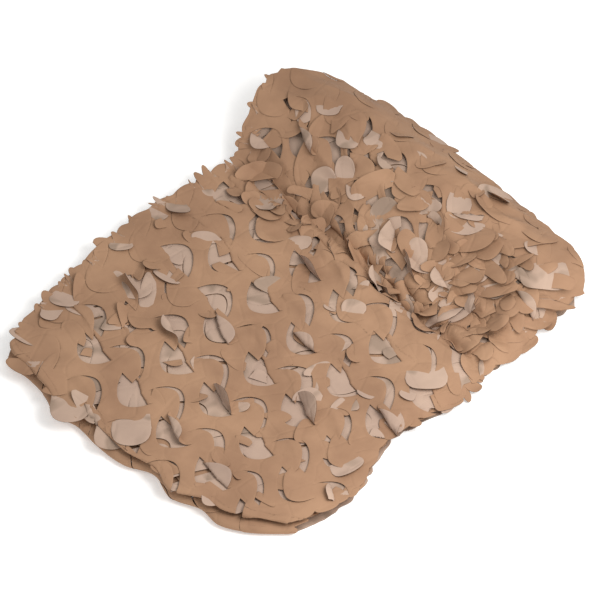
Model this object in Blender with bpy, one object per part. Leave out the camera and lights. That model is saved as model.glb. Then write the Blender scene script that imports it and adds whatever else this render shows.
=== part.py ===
"""Camouflage netting, one cut sheet of leaf-slit cloth folded back and forth and laid down flat.

The sheet lies in six layers. Its fold edges show along the flat end, and the far end is thrown up into a
long loose roll with a sunken valley in front of it. The frame is in metres: X runs from the flat end to the
rolled end, Y from the near cut edge to the far cut edge, Z up, and the origin is on the flat underside, at
its middle.
"""

import math

import bpy
import numpy as np

# ---- the sheet ----
SHEET_THICKNESS = 0.002  # cloth with its coating and the crinkle of its slits
LAYER_COUNT = 6
HALF_LENGTH = 0.54  # half of the folded bundle, along X
FOLD_STEPS = 5  # points round each fold, between its two layers
SECTION_COUNT = 14  # cross sections from the far edge to the near edge

# Places along a layer where the sheet is bent, as X; the closest ones are on the roll.
LAYER_STATIONS = (-0.50, -0.42, -0.32, -0.22, -0.12, -0.02, 0.06, 0.11, 0.15, 0.19,
                  0.22, 0.255, 0.29, 0.32, 0.35, 0.39, 0.43, 0.47, 0.505)

# Fold edges and cut ends at each end of the bundle. A row for each stretch of the width.
# share: 0 at the far edge, 1 at the near edge. front, back: X of the outermost fold edge.
END_ROWS = (
    {"share": 0.00, "front": -0.430, "back": 0.430},
    {"share": 0.07, "front": -0.468, "back": 0.490},
    {"share": 0.14, "front": -0.472, "back": 0.522},
    {"share": 0.22, "front": -0.490, "back": 0.534},
    {"share": 0.27, "front": -0.513, "back": 0.540},
    {"share": 0.33, "front": -0.508, "back": 0.538},
    {"share": 0.41, "front": -0.523, "back": 0.530},
    {"share": 0.50, "front": -0.528, "back": 0.522},
    {"share": 0.58, "front": -0.509, "back": 0.515},
    {"share": 0.66, "front": -0.534, "back": 0.512},
    {"share": 0.74, "front": -0.520, "back": 0.500},
    {"share": 0.80, "front": -0.530, "back": 0.486},
    {"share": 0.86, "front": -0.512, "back": 0.474},
    {"share": 0.92, "front": -0.478, "back": 0.462},
    {"share": 0.97, "front": -0.440, "back": 0.442},
    {"share": 1.00, "front": -0.400, "back": 0.415},
)

# Cut edges along both sides. A row for each stretch of the length.
# x: place along the bundle. far, near: Y of the two cut edges.
SIDE_ROWS = (
    {"x": -0.54, "far": 0.340, "near": -0.335},
    {"x": -0.46, "far": 0.362, "near": -0.362},
    {"x": -0.36, "far": 0.392, "near": -0.394},
    {"x": -0.26, "far": 0.400, "near": -0.404},
    {"x": -0.18, "far": 0.404, "near": -0.380},
    {"x": -0.11, "far": 0.405, "near": -0.364},
    {"x": -0.03, "far": 0.404, "near": -0.384},
    {"x": 0.05, "far": 0.390, "near": -0.396},
    {"x": 0.12, "far": 0.376, "near": -0.390},
    {"x": 0.18, "far": 0.372, "near": -0.400},
    {"x": 0.24, "far": 0.366, "near": -0.398},
    {"x": 0.30, "far": 0.396, "near": -0.394},
    {"x": 0.37, "far": 0.412, "near": -0.392},
    {"x": 0.44, "far": 0.408, "near": -0.388},
    {"x": 0.50, "far": 0.380, "near": -0.376},
    {"x": 0.54, "far": 0.330, "near": -0.360},
)

# Height of the top layer, in metres. A row for each section across the bundle, at x along it.
# The columns are places across it, each with its Y in the table before.
HEIGHT_PLACES = {
    "far": 0.405,
    "far_mid": 0.23,
    "middle": 0.06,
    "near_mid": -0.12,
    "near_low": -0.27,
    "near": -0.405,
}
HEIGHT_ROWS = (
    {"x": -0.54, "far": 0.038, "far_mid": 0.040, "middle": 0.038,
     "near_mid": 0.041, "near_low": 0.038, "near": 0.035},
    {"x": -0.42, "far": 0.043, "far_mid": 0.046, "middle": 0.042,
     "near_mid": 0.045, "near_low": 0.042, "near": 0.039},
    {"x": -0.28, "far": 0.042, "far_mid": 0.045, "middle": 0.046,
     "near_mid": 0.042, "near_low": 0.046, "near": 0.041},
    {"x": -0.14, "far": 0.044, "far_mid": 0.043, "middle": 0.047,
     "near_mid": 0.045, "near_low": 0.042, "near": 0.043},
    {"x": 0.00, "far": 0.046, "far_mid": 0.045, "middle": 0.044,
     "near_mid": 0.047, "near_low": 0.045, "near": 0.041},
    {"x": 0.10, "far": 0.046, "far_mid": 0.044, "middle": 0.045,
     "near_mid": 0.044, "near_low": 0.046, "near": 0.042},
    {"x": 0.16, "far": 0.043, "far_mid": 0.042, "middle": 0.042,
     "near_mid": 0.036, "near_low": 0.040, "near": 0.040},
    {"x": 0.22, "far": 0.042, "far_mid": 0.037, "middle": 0.036,
     "near_mid": 0.046, "near_low": 0.042, "near": 0.039},
    {"x": 0.27, "far": 0.062, "far_mid": 0.060, "middle": 0.058,
     "near_mid": 0.072, "near_low": 0.062, "near": 0.052},
    {"x": 0.33, "far": 0.094, "far_mid": 0.098, "middle": 0.096,
     "near_mid": 0.099, "near_low": 0.088, "near": 0.072},
    {"x": 0.39, "far": 0.108, "far_mid": 0.118, "middle": 0.115,
     "near_mid": 0.110, "near_low": 0.098, "near": 0.080},
    {"x": 0.45, "far": 0.102, "far_mid": 0.113, "middle": 0.104,
     "near_mid": 0.092, "near_low": 0.078, "near": 0.062},
    {"x": 0.50, "far": 0.075, "far_mid": 0.078, "middle": 0.064,
     "near_mid": 0.052, "near_low": 0.040, "near": 0.034},
    {"x": 0.54, "far": 0.036, "far_mid": 0.036, "middle": 0.032,
     "near_mid": 0.028, "near_low": 0.024, "near": 0.022},
)

# Main creases of the top layers. x, y: middle. turn: degrees from Y towards X. height: a trough below zero.
CREASE_ROWS = (
    {"x": 0.215, "y": 0.250, "turn": 4, "length": 0.30, "width": 0.050, "height": -0.006},
    {"x": 0.195, "y": -0.040, "turn": 14, "length": 0.26, "width": 0.050, "height": -0.007},
    {"x": 0.135, "y": -0.050, "turn": 18, "length": 0.30, "width": 0.070, "height": 0.007},
    {"x": 0.185, "y": -0.260, "turn": -12, "length": 0.26, "width": 0.045, "height": -0.008},
    {"x": 0.255, "y": -0.250, "turn": -4, "length": 0.30, "width": 0.055, "height": 0.010},
    {"x": 0.290, "y": 0.060, "turn": 8, "length": 0.34, "width": 0.060, "height": 0.006},
    {"x": 0.325, "y": -0.300, "turn": -8, "length": 0.20, "width": 0.060, "height": -0.007},
    {"x": 0.345, "y": 0.290, "turn": -20, "length": 0.20, "width": 0.060, "height": -0.006},
    {"x": 0.420, "y": 0.130, "turn": 60, "length": 0.16, "width": 0.080, "height": -0.006},
    {"x": 0.430, "y": -0.150, "turn": -50, "length": 0.16, "width": 0.080, "height": -0.006},
    {"x": -0.330, "y": 0.260, "turn": 30, "length": 0.24, "width": 0.120, "height": 0.003},
    {"x": -0.050, "y": -0.330, "turn": 70, "length": 0.30, "width": 0.120, "height": 0.003},
)

# How far each layer stops short of the outermost outline. A row for each layer, the lowest first.
# front, back: at its two ends. far, near: at its two cut edges. wave: how far its ends waver.
# Layers 1 and 2, 3 and 4, and 5 and 6 share a front fold; 2 and 3, and 4 and 5, share a back fold.
LAYER_ROWS = (
    {"front": 0.000, "back": 0.030, "far": 0.004, "near": 0.006, "wave": 0.000},
    {"front": 0.000, "back": 0.016, "far": 0.006, "near": 0.000, "wave": 0.000},
    {"front": 0.010, "back": 0.016, "far": 0.008, "near": 0.010, "wave": 0.005},
    {"front": 0.010, "back": 0.024, "far": 0.004, "near": 0.002, "wave": 0.005},
    {"front": 0.018, "back": 0.024, "far": 0.006, "near": 0.014, "wave": 0.009},
    {"front": 0.018, "back": 0.000, "far": 0.000, "near": 0.008, "wave": 0.009},
)
WAVE_COUNT = 2.3  # waves of a fold edge over the width

# ---- the widest leaf openings ----
# The slits stand in rows along X. Each slit's lower leaf lifts and leaves a gap with one round side.
SLIT_STEP = (0.118, -0.011)  # from slit to slit in a row
ROW_STEP = (-0.031, -0.131)  # from row to row, towards the near edge
FIRST_SLIT = (-0.269, -0.019)  # X and Y of the slit that the rows and columns below are counted from
GAP_FROM_SLIT = (-0.029, -0.034)  # from a slit's middle to the middle of its gap
GAP_RADIUS = 0.026  # the gap's round side
GAP_FLAT = 0.009  # how far its straight side lies from its middle
GAP_TURN = math.radians(40.0)  # direction of the straight side's outward normal, from +X
GAP_ARC_STEPS = 7
GAP_CUT_RISE = 0.008  # how far the cut is carried above the top layer

# Slits whose gap is cut, as steps from the first slit. across: rows. along: slits in the row.
GAP_ROWS = (
    {"across": -1, "along": 0},
    {"across": -1, "along": 2},
    {"across": 0, "along": -1},
    {"across": 0, "along": 0},
    {"across": 0, "along": 1},
    {"across": 0, "along": 2},
    {"across": 1, "along": -1},
    {"across": 1, "along": 0},
    {"across": 1, "along": 1},
    {"across": 1, "along": 2},
    {"across": 2, "along": 0},
    {"across": 2, "along": 1},
)


def column(rows, name):
    """One named column of a table."""
    return np.array([row[name] for row in rows])


def smooth(at, places, values):
    """Curve through the values at rising places, each tangent from its neighbours, flat past the ends."""
    at = np.clip(at, places[0], places[-1])
    tangents = np.gradient(values, places, axis=0)
    low = np.clip(np.searchsorted(places, at, side="right") - 1, 0, len(places) - 2)
    width = places[low + 1] - places[low]
    share = (at - places[low]) / width
    rise = values[low + 1] - values[low]
    start = tangents[low] * width
    finish = tangents[low + 1] * width
    bend = 3 * rise - 2 * start - finish
    sway = start + finish - 2 * rise
    return values[low] + share * (start + share * (bend + share * sway))


def crease_height(x, y):
    """Sum of the creases over a point. Each is a soft ridge, or a trough where its height is below zero."""
    total = np.zeros_like(x)
    for row in CREASE_ROWS:
        turn = math.radians(row["turn"])
        along = (x - row["x"]) * math.sin(turn) + (y - row["y"]) * math.cos(turn)
        across = (x - row["x"]) * math.cos(turn) - (y - row["y"]) * math.sin(turn)
        reach = (2 * along / row["length"]) ** 4 + (2 * across / row["width"]) ** 2
        total += row["height"] * np.exp(-reach)
    return total


def top_height(x, y):
    """Height of the top layer: curves along the bundle in each column, blended across it, and the creases."""
    stations = column(HEIGHT_ROWS, "x")
    names = list(HEIGHT_PLACES)[::-1]
    places = np.array([HEIGHT_PLACES[name] for name in names])
    flat_x = np.ravel(x)
    flat_y = np.clip(np.ravel(y), places[0], places[-1])
    heights = np.array([smooth(flat_x, stations, column(HEIGHT_ROWS, name)) for name in names])
    low = np.clip(np.searchsorted(places, flat_y, side="right") - 1, 0, len(places) - 2)
    share = (flat_y - places[low]) / (places[low + 1] - places[low])
    share = share * share * (3 - 2 * share)
    point = np.arange(len(flat_x))
    height = heights[low, point] * (1 - share) + heights[low + 1, point] * share
    return height.reshape(np.shape(x)) + crease_height(x, y)


def layer_height(x, y, layer):
    """Middle of a layer: the lowest lies flat, and the rest share the room up to the top layer evenly."""
    base = SHEET_THICKNESS / 2
    return base + (top_height(x, y) - base) * layer / (LAYER_COUNT - 1)


def layer_points(layer, stations, shares):
    """Points of one layer, as an array of station by share across, from its front end to its back end."""
    row = LAYER_ROWS[layer]
    ends = column(END_ROWS, "share")
    wave = row["wave"] * np.sin(2 * math.pi * WAVE_COUNT * shares + layer // 2)
    front = smooth(shares, ends, column(END_ROWS, "front")) + row["front"] + wave
    back = smooth(shares, ends, column(END_ROWS, "back")) - row["back"]
    nominal = (stations + HALF_LENGTH) / (2 * HALF_LENGTH)
    x = front[None, :] + nominal[:, None] * (back - front)[None, :]
    places = column(SIDE_ROWS, "x")
    far = smooth(x, places, column(SIDE_ROWS, "far")) - row["far"]
    near = smooth(x, places, column(SIDE_ROWS, "near")) + row["near"]
    y = far + shares[None, :] * (near - far)
    return np.stack((x, y, layer_height(x, y, layer)), axis=-1)


def fold_points(lower, upper, outward):
    """Half circle from the end row of one layer to the end row of the next, bulging along X."""
    turns = np.linspace(0, math.pi, FOLD_STEPS + 2)[1:-1]
    middle = (lower + upper) / 2
    radius = (upper - lower)[:, 2] / 2
    rows = []
    for turn in turns:
        row = middle - (upper - lower) / 2 * math.cos(turn)
        row[:, 0] += outward * radius * math.sin(turn)
        rows.append(row)
    return rows


def sheet_rows():
    """The whole sheet's middle surface, row by row from the bottom layer's cut end to the top layer's."""
    shares = np.linspace(0, 1, SECTION_COUNT)
    stations = np.array((-HALF_LENGTH, *LAYER_STATIONS, HALF_LENGTH))
    rows = []
    for layer in range(LAYER_COUNT):
        points = layer_points(layer, stations, shares)
        runs_forward = layer % 2 == 0
        ordered = points[::-1] if runs_forward else points
        if rows:
            outward = -1 if not runs_forward else 1
            rows.extend(fold_points(rows[-1], ordered[0], outward))
        rows.extend(ordered)
    return np.array(rows)


def sheet_normals(middle):
    """Unit normals of the middle surface, from its two grid directions."""
    along = np.gradient(middle, axis=0)
    across = np.gradient(middle, axis=1)
    normals = np.cross(along, across)
    return normals / np.linalg.norm(normals, axis=-1, keepdims=True)


def grid_faces(first, count_along, count_across, flip):
    """Triangles of one side of the sheet."""
    cells = first + np.arange((count_along - 1) * count_across).reshape(count_along - 1, count_across)[:, :-1]
    a = cells.ravel()
    b = a + 1
    c = a + count_across + 1
    d = a + count_across
    triangles = np.concatenate((np.stack((a, b, c), 1), np.stack((a, c, d), 1)))
    return triangles[:, ::-1] if flip else triangles


def rim_faces(rim, offset):
    """Triangles that close the sheet's edge, between its two sides."""
    following = np.roll(rim, -1)
    lower = np.stack((rim, following, following + offset), 1)
    upper = np.stack((rim, following + offset, rim + offset), 1)
    return np.concatenate((lower, upper))


def new_material(name, color, roughness):
    """Plain cloth finish."""
    material = bpy.data.materials.new(name)
    material.use_nodes = True
    shader = material.node_tree.nodes["Principled BSDF"]
    shader.inputs["Base Color"].default_value = (*color, 1.0)
    shader.inputs["Roughness"].default_value = roughness
    shader.inputs["Metallic"].default_value = 0.0
    return material


def build_sheet():
    """The folded sheet as one closed solid."""
    middle = sheet_rows()
    normals = sheet_normals(middle)
    count_along, count_across = middle.shape[:2]
    size = count_along * count_across
    offset = normals * SHEET_THICKNESS / 2
    points = np.concatenate(((middle + offset).reshape(-1, 3), (middle - offset).reshape(-1, 3)))
    index = np.arange(size).reshape(count_along, count_across)
    rim = np.concatenate((index[0, :-1], index[:-1, -1], index[-1, :0:-1], index[:0:-1, 0]))
    faces = np.concatenate((
        grid_faces(0, count_along, count_across, flip=True),
        grid_faces(size, count_along, count_across, flip=False),
        rim_faces(rim, size),
    ))
    mesh = bpy.data.meshes.new("net_cloth")
    mesh.from_pydata(points.tolist(), [], faces.tolist())
    sheet = bpy.data.objects.new("net_cloth", mesh)
    bpy.context.collection.objects.link(sheet)
    return sheet


def gap_middle(row):
    """X and Y of the middle of one leaf gap."""
    x = FIRST_SLIT[0] + row["along"] * SLIT_STEP[0] + row["across"] * ROW_STEP[0] + GAP_FROM_SLIT[0]
    y = FIRST_SLIT[1] + row["along"] * SLIT_STEP[1] + row["across"] * ROW_STEP[1] + GAP_FROM_SLIT[1]
    return x, y


def gap_outline(x, y):
    """The gap seen from above: a circle cut off along the lifted leaf."""
    half_open = math.acos(GAP_FLAT / GAP_RADIUS)
    turns = np.linspace(GAP_TURN + half_open, GAP_TURN - half_open + 2 * math.pi, GAP_ARC_STEPS)
    return [(x + GAP_RADIUS * math.cos(turn), y + GAP_RADIUS * math.sin(turn)) for turn in turns]


def cut_gap(sheet, number, row):
    """Cuts one gap through the top layer, with a straight prism that starts between the two upper layers."""
    x, y = gap_middle(row)
    at = np.array([x]), np.array([y])
    upper = float(layer_height(*at, LAYER_COUNT - 1)[0])
    lower = float(layer_height(*at, LAYER_COUNT - 2)[0])
    bottom = (upper + lower) / 2
    top = upper + GAP_CUT_RISE
    outline = gap_outline(x, y)
    count = len(outline)
    points = [(*point, bottom) for point in outline] + [(*point, top) for point in outline]
    walls = [(i, (i + 1) % count, count + (i + 1) % count, count + i) for i in range(count)]
    faces = [tuple(range(count))[::-1], tuple(range(count, 2 * count)), *walls]
    mesh = bpy.data.meshes.new(f"gap_cutter_{number}")
    mesh.from_pydata(points, [], faces)
    cutter = bpy.data.objects.new(f"gap_cutter_{number}", mesh)
    bpy.context.collection.objects.link(cutter)
    cutter.hide_render = True
    cutter.display_type = "WIRE"
    cut = sheet.modifiers.new(f"gap_{number}", "BOOLEAN")
    cut.operation = "DIFFERENCE"
    cut.solver = "EXACT"
    cut.object = cutter


def main():
    for old in list(bpy.data.objects):
        bpy.data.objects.remove(old)
    sheet = build_sheet()
    sheet.data.materials.append(new_material("tan_coated_net_cloth", (0.445, 0.262, 0.161), 0.9))
    for number, row in enumerate(GAP_ROWS, start=1):
        cut_gap(sheet, number, row)


main()
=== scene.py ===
import math

import bpy
import numpy as np
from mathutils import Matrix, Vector
from mathutils.geometry import delaunay_2d_cdt


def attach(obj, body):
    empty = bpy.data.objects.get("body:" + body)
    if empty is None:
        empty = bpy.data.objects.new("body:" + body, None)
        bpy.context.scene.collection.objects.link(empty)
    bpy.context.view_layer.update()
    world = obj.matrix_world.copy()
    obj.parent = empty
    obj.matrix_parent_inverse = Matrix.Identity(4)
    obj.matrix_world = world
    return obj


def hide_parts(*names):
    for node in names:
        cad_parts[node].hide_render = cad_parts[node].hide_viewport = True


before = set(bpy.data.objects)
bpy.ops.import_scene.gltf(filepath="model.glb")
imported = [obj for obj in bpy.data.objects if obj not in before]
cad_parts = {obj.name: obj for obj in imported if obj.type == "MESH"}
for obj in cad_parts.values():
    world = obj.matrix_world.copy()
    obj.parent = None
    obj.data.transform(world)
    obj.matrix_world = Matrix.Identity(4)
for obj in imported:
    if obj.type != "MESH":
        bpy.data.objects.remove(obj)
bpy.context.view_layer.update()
print("frame loaded")


# one dictionary for each row of a table that is written as its column names and a tuple for each row
def tableOf(names, *rows):
    return [dict(zip(names.split(), row, strict=True)) for row in rows]


def column(rows, name):
    return np.array([row[name] for row in rows])


# The folded form, as its solid is built.
folds = {
    "layers": 6,
    "solidThickness": 0.002,    # of the solid, whose lowest layer lies on the ground
    "halfWidth": 0.405,         # of the bundle along Y
    "waveCount": 2.3,           # waves of a fold edge over the width
    "frontShare": (0.6, 0.7),   # of a layer's front distance at the far edge, and more by the near edge
    "alongStations": 260,       # rows of the form in each layer
    "acrossStations": 120,      # columns over the width
    "beyondEdge": 0.050,        # how far the form goes on past the cut edges, for leaves that stand out there
    "foldStations": 14,         # rows round each fold
    "foldBulge": 1.9,           # how far a fold stands out, as a share of its half height
    "step": 0.0016,             # spacing of the table that finds a row from a length
    "anchor": -0.10,            # X on the top layer where the cloth's own length is counted as X
}

# share: 0 at the far edge, 1 at the near edge. front, back: X of the outermost fold edge.
endRows = tableOf(
    "share front back",
    (0.00, -0.430, 0.430),
    (0.07, -0.468, 0.490),
    (0.14, -0.472, 0.522),
    (0.22, -0.490, 0.534),
    (0.27, -0.513, 0.540),
    (0.33, -0.508, 0.538),
    (0.41, -0.523, 0.530),
    (0.50, -0.528, 0.522),
    (0.58, -0.509, 0.515),
    (0.66, -0.534, 0.512),
    (0.74, -0.520, 0.500),
    (0.80, -0.530, 0.486),
    (0.86, -0.512, 0.474),
    (0.92, -0.478, 0.462),
    (0.97, -0.440, 0.442),
    (1.00, -0.400, 0.415),
)

# x: place along the bundle. far, near: Y of the two cut edges.
sideRows = tableOf(
    "x far near",
    (-0.54, 0.340, -0.335),
    (-0.46, 0.362, -0.362),
    (-0.36, 0.392, -0.394),
    (-0.26, 0.400, -0.404),
    (-0.18, 0.404, -0.380),
    (-0.11, 0.405, -0.364),
    (-0.03, 0.404, -0.384),
    (0.05, 0.390, -0.396),
    (0.12, 0.376, -0.390),
    (0.18, 0.372, -0.400),
    (0.24, 0.366, -0.398),
    (0.30, 0.396, -0.394),
    (0.37, 0.412, -0.404),
    (0.44, 0.408, -0.402),
    (0.50, 0.380, -0.376),
    (0.54, 0.330, -0.360),
)

# height of the top layer at x, in columns at these places across the bundle
heightPlaces = {"near": -0.405, "nearLow": -0.27, "nearMid": -0.12, "middle": 0.06, "farMid": 0.23,
                "far": 0.405}
heightRows = tableOf(
    "x far farMid middle nearMid nearLow near",
    (-0.54, 0.038, 0.040, 0.038, 0.041, 0.038, 0.035),
    (-0.42, 0.043, 0.046, 0.042, 0.045, 0.042, 0.039),
    (-0.28, 0.042, 0.045, 0.046, 0.042, 0.046, 0.041),
    (-0.14, 0.044, 0.043, 0.047, 0.045, 0.042, 0.043),
    (0.00, 0.046, 0.045, 0.044, 0.047, 0.045, 0.041),
    (0.10, 0.046, 0.044, 0.045, 0.044, 0.046, 0.042),
    (0.16, 0.043, 0.042, 0.042, 0.036, 0.040, 0.040),
    (0.22, 0.042, 0.037, 0.036, 0.046, 0.042, 0.039),
    (0.27, 0.062, 0.060, 0.058, 0.072, 0.062, 0.052),
    (0.33, 0.094, 0.098, 0.096, 0.099, 0.088, 0.072),
    (0.39, 0.108, 0.118, 0.115, 0.110, 0.098, 0.080),
    (0.45, 0.102, 0.113, 0.104, 0.092, 0.078, 0.062),
    (0.50, 0.075, 0.078, 0.064, 0.052, 0.040, 0.034),
    (0.54, 0.036, 0.036, 0.032, 0.028, 0.024, 0.022),
)

# main creases. turn: degrees from Y towards X. height: below zero is a trough.
creaseRows = tableOf(
    "x y turn length width height",
    (0.215, 0.250, 4, 0.30, 0.050, -0.006),
    (0.195, -0.040, 14, 0.26, 0.050, -0.007),
    (0.135, -0.050, 18, 0.30, 0.070, 0.007),
    (0.185, -0.260, -12, 0.26, 0.045, -0.008),
    (0.255, -0.250, -4, 0.30, 0.055, 0.010),
    (0.290, 0.060, 8, 0.34, 0.060, 0.006),
    (0.325, -0.300, -8, 0.20, 0.060, -0.007),
    (0.345, 0.290, -20, 0.20, 0.060, -0.006),
    (0.420, 0.130, 60, 0.16, 0.080, -0.006),
    (0.430, -0.150, -50, 0.16, 0.080, -0.006),
    (0.188, 0.010, 8, 0.42, 0.036, -0.023),
    (0.150, -0.230, 8, 0.28, 0.034, -0.021),
    (0.152, 0.040, 10, 0.34, 0.040, 0.005),
    (0.226, -0.020, 6, 0.30, 0.036, 0.008),
    (0.262, 0.160, -14, 0.20, 0.034, -0.007),
    (0.300, -0.090, 24, 0.18, 0.034, -0.007),
    (-0.330, 0.260, 30, 0.24, 0.120, 0.003),
    (-0.050, -0.330, 70, 0.30, 0.120, 0.003),
)

# How far each layer stops short of the outline, the lowest first. wave: how much its front fold edge wanders.
# share: of the height between the ground and the top layer, less below: how far it lies under that.
layerRows = tableOf(
    "front back far near wave share below",
    (0.034, 0.030, 0.006, 0.008, 0.000, 0.00, 0.0000),
    (0.034, 0.014, 0.008, 0.006, 0.000, 0.66, 0.0010),
    (0.050, 0.014, 0.010, 0.016, 0.010, 0.74, 0.0010),
    (0.050, 0.012, 0.006, 0.010, 0.010, 1.00, 0.0085),
    (0.022, 0.012, 0.008, 0.010, 0.013, 1.00, 0.0042),
    (0.022, 0.000, 0.000, 0.000, 0.013, 1.00, 0.0000),
)
# how much deeper each one lies under the crumpled part, and between which X that sets in
deeper = {"from": 0.12, "full": 0.19, "by": (0, 0, 0, 0.008, 0.008, 0)}

# The near cut edge droops towards the ground: how far in from the edge that begins, how low it comes as a
# share of its height, and between which X it sets in.
droop = {"reach": 0.060, "low": 0.30, "from": -0.22, "full": 0.02}


# cubic through the values at rising places, each tangent from its two neighbours, level past the ends
def smoothThrough(at, places, values):
    at = np.clip(at, places[0], places[-1])
    tangents = np.gradient(values, places)
    low = np.clip(np.searchsorted(places, at, side="right") - 1, 0, len(places) - 2)
    width = places[low + 1] - places[low]
    share = (at - places[low]) / width
    rise = values[low + 1] - values[low]
    start, finish = tangents[low] * width, tangents[low + 1] * width
    bend, sway = 3 * rise - 2 * start - finish, start + finish - 2 * rise
    return values[low] + share * (start + share * (bend + share * sway))


# a column of a table as that cubic over the table's first column
def curveOf(rows, name, at):
    return smoothThrough(at, column(rows, next(iter(rows[0]))), column(rows, name))


# 0 up to the row's from, rising evenly to 1 at its full
def setIn(row, x):
    return np.clip((x - row["from"]) / (row["full"] - row["from"]), 0, 1)


# each crease is height * exp(-((2 along / length)^4 + (2 across / width)^2))
def creaseHeight(x, y):
    total = np.zeros_like(x)
    for row in creaseRows:
        turn = math.radians(row["turn"])
        along = (x - row["x"]) * math.sin(turn) + (y - row["y"]) * math.cos(turn)
        across = (x - row["x"]) * math.cos(turn) - (y - row["y"]) * math.sin(turn)
        total += row["height"] * np.exp(-(2 * along / row["length"])**4 - (2 * across / row["width"])**2)
    return total


# the table's columns as curves along X, blended across Y by 3s^2 - 2s^3, plus the creases
def topHeight(x, y):
    places = np.array(list(heightPlaces.values()))
    heights = np.array([curveOf(heightRows, name, x) for name in heightPlaces])
    held = np.clip(y, places[0], places[-1])
    low = np.clip(np.searchsorted(places, held, side="right") - 1, 0, len(places) - 2)
    share = (held - places[low]) / (places[low + 1] - places[low])
    share = share * share * (3 - 2 * share)
    lower = np.take_along_axis(heights, low[None], 0)[0]
    upper = np.take_along_axis(heights, low[None] + 1, 0)[0]
    return lower * (1 - share) + upper * share + creaseHeight(x, y)


# One layer as rows along X by columns across: its ends from the tables, its height a share of the top
# layer's less what it lies below, times 1 - (1 - low) * s^2 where it droops, and beside each point the Y of
# its cut edges.
def layerPoints(layer, across):
    row = layerRows[layer]
    shares = np.clip(0.5 - across / (2 * folds["halfWidth"]), 0, 1)
    wave = row["wave"] * np.sin(2 * math.pi * folds["waveCount"] * shares + layer // 2)
    least, more = folds["frontShare"]
    front = curveOf(endRows, "front", shares) + (row["front"] + wave) * (least + more * shares)
    back = curveOf(endRows, "back", shares) - row["back"]
    x = front + np.linspace(0, 1, folds["alongStations"])[:, None] * (back - front)
    outline = curveOf(sideRows, "near", x)
    far, near = curveOf(sideRows, "far", x) - row["far"], outline + row["near"]
    y = np.broadcast_to(across, x.shape)
    base = folds["solidThickness"] / 2
    share = np.clip(1 - (y - outline) / droop["reach"], 0, 1)
    scale = 1 - (1 - droop["low"]) * share * share * setIn(droop, x)
    below = row["below"] + deeper["by"][layer] * setIn(deeper, x)
    height = base + ((topHeight(x, np.clip(y, near, far)) - base) * row["share"] - below) * scale
    return np.stack((x, y, height, near, far), -1)


# half oval from one layer's end row to the next one's, bulging along X
def foldPoints(lower, upper, outward):
    turns = np.linspace(0, math.pi, folds["foldStations"] + 2)[1:-1, None, None]
    rows = (lower + upper) / 2 - (upper - lower) / 2 * np.cos(turns)
    rows[:, :, 0] += outward * folds["foldBulge"] * (upper - lower)[:, 2] / 2 * np.sin(turns[:, :, 0])
    return rows


# The whole sheet as rows by columns of places, from the bottom layer's cut end to the top layer's. p is the
# place along the sheet and q the place across it. p is a column's true length, counted so that it is X at the
# anchor on the top layer; on the layers below, it is evened out so that each fold lies straight across.
# rowAt is the row of a column at even steps of p.
def foldedForm():
    across = np.linspace(1, -1, folds["acrossStations"]) * (folds["halfWidth"] + folds["beyondEdge"])
    blocks = []
    for layer in range(folds["layers"]):
        points = layerPoints(layer, across)
        ordered = points[::-1] if layer % 2 == 0 else points
        if blocks:
            blocks.append(foldPoints(blocks[-1][-1], ordered[0], 1 if layer % 2 == 0 else -1))
        blocks.append(ordered)
    rows = np.concatenate(blocks)
    steps = np.linalg.norm(np.diff(rows[:, :, [0, 2]], axis=0), axis=2)
    length = np.concatenate((np.zeros((1, len(across))), np.cumsum(steps, 0)))
    top = slice(len(rows) - folds["alongStations"], None)
    for c in range(len(across)):
        length[:, c] += folds["anchor"] - np.interp(folds["anchor"], rows[top, c, 0], length[top, c])
    starts = np.cumsum([0] + [len(block) for block in blocks])
    # the sheet's first row and the middle row of each fold
    marks = [0] + [(starts[2 * n + 1] + starts[2 * n + 2]) // 2 for n in range(folds["layers"] - 1)]
    even = [float(np.median(length[mark])) for mark in marks[:-1]]
    below = slice(0, marks[-1])
    for c in range(len(across)):
        length[below, c] = np.interp(length[below, c], length[marks, c], even + [length[marks[-1], c]])
    plan = np.arange(length[0].min(), length[-1].max() + folds["step"], folds["step"])
    rowAt = [np.interp(plan, length[:, c], np.arange(len(rows))) for c in range(len(across))]
    place = rows[:, :, :3]
    side = np.cross(np.gradient(place, axis=1), np.gradient(place, axis=0))
    side /= np.maximum(np.linalg.norm(side, axis=2, keepdims=True), 1e-12)
    return {"plan": plan, "across": across, "rowAt": np.stack(rowAt, 1), "length": length, "place": place,
            "edges": rows[:, :, 3:], "side": side, "first": length[0], "last": length[-1],
            "foldMiddle": [length[mark] for mark in marks[1:]]}


form = foldedForm()
print("folded form:", form["place"].shape[0], "rows, sheet", round(float(np.ptp(form["plan"])), 2), "m long")


# values[row, col] blended straight between the four rows and columns around row and col
def blended(values, row, col):
    row = np.clip(row, 0, values.shape[0] - 1.001)
    col = np.clip(col, 0, values.shape[1] - 1.001)
    r, c = row.astype(int), col.astype(int)
    u, v = row - r, col - c
    if values.ndim == 3:
        u, v = u[..., None], v[..., None]
    return (values[r, c] * (1 - u) + values[r + 1, c] * u) * (1 - v) \
        + (values[r, c + 1] * (1 - u) + values[r + 1, c + 1] * u) * v


# row and column of the form at p and q: the row from rowAt, put right twice by (p - length there) / (length a
# row there)
def findForm(p, q):
    length = form["length"]
    col = (form["across"][0] - q) / (form["across"][0] - form["across"][1])
    row = blended(form["rowAt"], (p - form["plan"][0]) / folds["step"], col)
    for _ in range(2):
        here = blended(length, row, col)
        ahead = blended(length, np.floor(row) + 1, col) - blended(length, np.floor(row), col)
        row = np.clip(row + np.clip((p - here) / np.maximum(ahead, 1e-6), -2, 2), 0, len(length) - 1)
    return row, col


# vectors of the same direction, of length 1
def unit(vectors):
    return vectors / np.linalg.norm(vectors, axis=-1, keepdims=True)


# place on the form at p and q, plus its outward side times height
def onForm(p, q, height):
    row, col = findForm(p, q)
    side = unit(blended(form["side"], row, col))
    return blended(form["place"], row, col) + side * height[:, None]


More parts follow.
